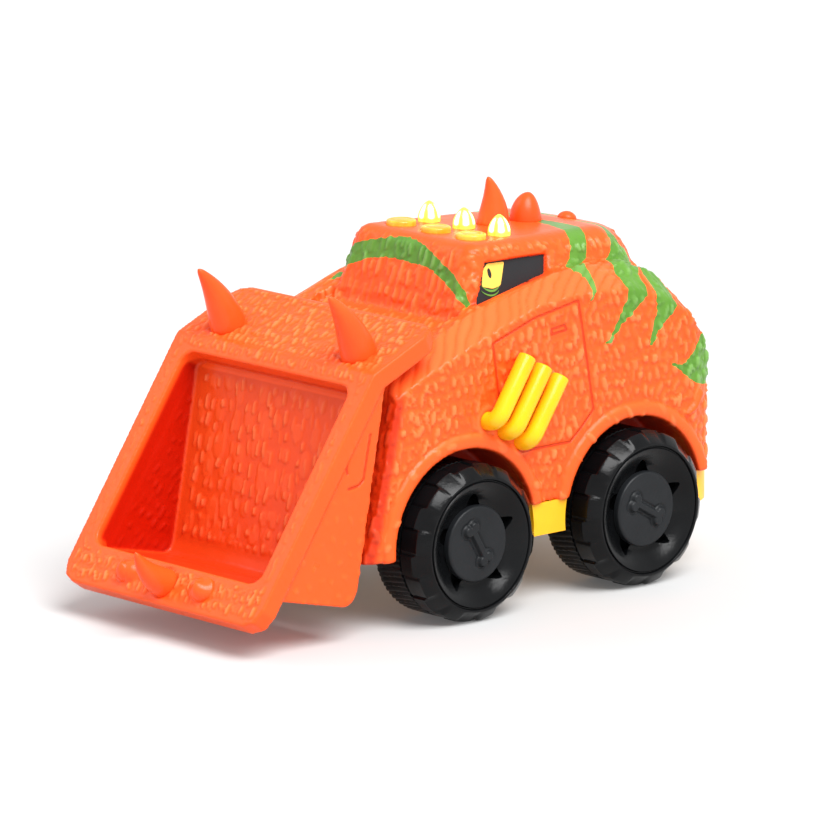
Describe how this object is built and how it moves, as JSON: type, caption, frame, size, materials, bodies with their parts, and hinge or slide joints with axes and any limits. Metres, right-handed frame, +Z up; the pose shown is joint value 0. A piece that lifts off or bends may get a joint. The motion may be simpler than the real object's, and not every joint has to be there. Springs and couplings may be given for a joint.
{
  "type": "toy front loader",
  "caption": "Toy front loader styled as a horned dinosaur, with a tilting bucket, free-rolling wheels, sprung roof buttons and light domes.",
  "frame": {"origin": "on the ground, under the middle of the toy", "axes": "+Z up, the bucket faces -Y, +X is the toy's left side and x = 0 its mirror plane"},
  "size_m": [0.12, 0.2374, 0.1445],
  "materials": {
    "orange_plastic": "moulded scaly satin gloss with green painted stripes",
    "yellow_plastic": "moulded gloss",
    "pipe_plastic": "smooth moulded gloss",
    "horn_plastic": "smooth satin",
    "window_plastic": "dark gloss",
    "eye_print": "printed film",
    "amber_button": "translucent gloss",
    "amber_lens": "clear gloss, lit from inside",
    "lamp_lens": "clear gloss",
    "pad_rubber": "matt",
    "board": "satin",
    "speaker_plastic": "matt",
    "cell_wrap": "printed sleeve",
    "steel": "zinc plated",
    "black_plastic": "satin",
    "wheel_plastic": "moulded gloss",
    "hub_plastic": "satin gloss"
  },
  "bodies": {
    "toy_body": {"body_shell": "orange_plastic", "chassis": "yellow_plastic", "window_left": "window_plastic", "window_right": "window_plastic", "eye_left": "eye_print", "eye_right": "eye_print", "exhaust_left": "pipe_plastic", "exhaust_right": "pipe_plastic", "roof_horn": "horn_plastic", "roof_spike": "horn_plastic", "roof_nub": "horn_plastic", "pad_left": "pad_rubber", "pad_middle": "pad_rubber", "pad_right": "pad_rubber", "dome_left": "amber_lens", "dome_middle": "amber_lens", "dome_right": "amber_lens", "lamps": "lamp_lens", "circuit_board": "board", "speaker": "speaker_plastic", "cells": "cell_wrap", "battery_contacts": "steel", "battery_cover": "yellow_plastic", "cover_screw": "steel", "chassis_screws": "steel", "hinge_pin": "steel"},
    "bucket_body": {"bucket": "orange_plastic", "brow_horn_left": "horn_plastic", "brow_horn_right": "horn_plastic", "lip_horn": "horn_plastic"},
    "button_left_body": {"button_left": "amber_button"},
    "button_middle_body": {"button_middle": "amber_button"},
    "button_right_body": {"button_right": "amber_button"},
    "switch_body": {"power_switch": "black_plastic"},
    "front_wheels": {"front_axle": "steel", "wheel_front_left": "wheel_plastic", "wheel_front_right": "wheel_plastic", "hub_front_left": "hub_plastic", "hub_front_right": "hub_plastic"},
    "rear_wheels": {"rear_axle": "steel", "wheel_rear_left": "wheel_plastic", "wheel_rear_right": "wheel_plastic", "hub_rear_left": "hub_plastic", "hub_rear_right": "hub_plastic"}
  },
  "joints": [
    {"name": "bucket_hinge", "type": "hinge", "parent": "toy_body", "child": "bucket_body", "pos_m": [0, -0.025, 0.0949], "axis": [-1, 0, 0], "range_deg": [0, 50]},
    {"name": "button_left_press", "type": "slide", "parent": "toy_body", "child": "button_left_body", "axis": [0, 0, -1], "range_m": [0, 0.0015], "stiffness_N_per_m": 800, "springref_m": -0.0005, "deforming": ["pad_left"]},
    {"name": "button_middle_press", "type": "slide", "parent": "toy_body", "child": "button_middle_body", "axis": [0, 0, -1], "range_m": [0, 0.0015], "stiffness_N_per_m": 800, "springref_m": -0.0005, "deforming": ["pad_middle"]},
    {"name": "button_right_press", "type": "slide", "parent": "toy_body", "child": "button_right_body", "axis": [0, 0, -1], "range_m": [0, 0.0015], "stiffness_N_per_m": 800, "springref_m": -0.0005, "deforming": ["pad_right"]},
    {"name": "power_switch_slide", "type": "slide", "parent": "toy_body", "child": "switch_body", "axis": [0, 1, 0], "range_m": [0, 0.004]},
    {"name": "front_wheels_spin", "type": "hinge", "parent": "toy_body", "child": "front_wheels", "pos_m": [0, -0.0107, 0.0283], "axis": [1, 0, 0], "continuous": true},
    {"name": "rear_wheels_spin", "type": "hinge", "parent": "toy_body", "child": "rear_wheels", "pos_m": [0, 0.0708, 0.0283], "axis": [1, 0, 0], "continuous": true}
  ]
}
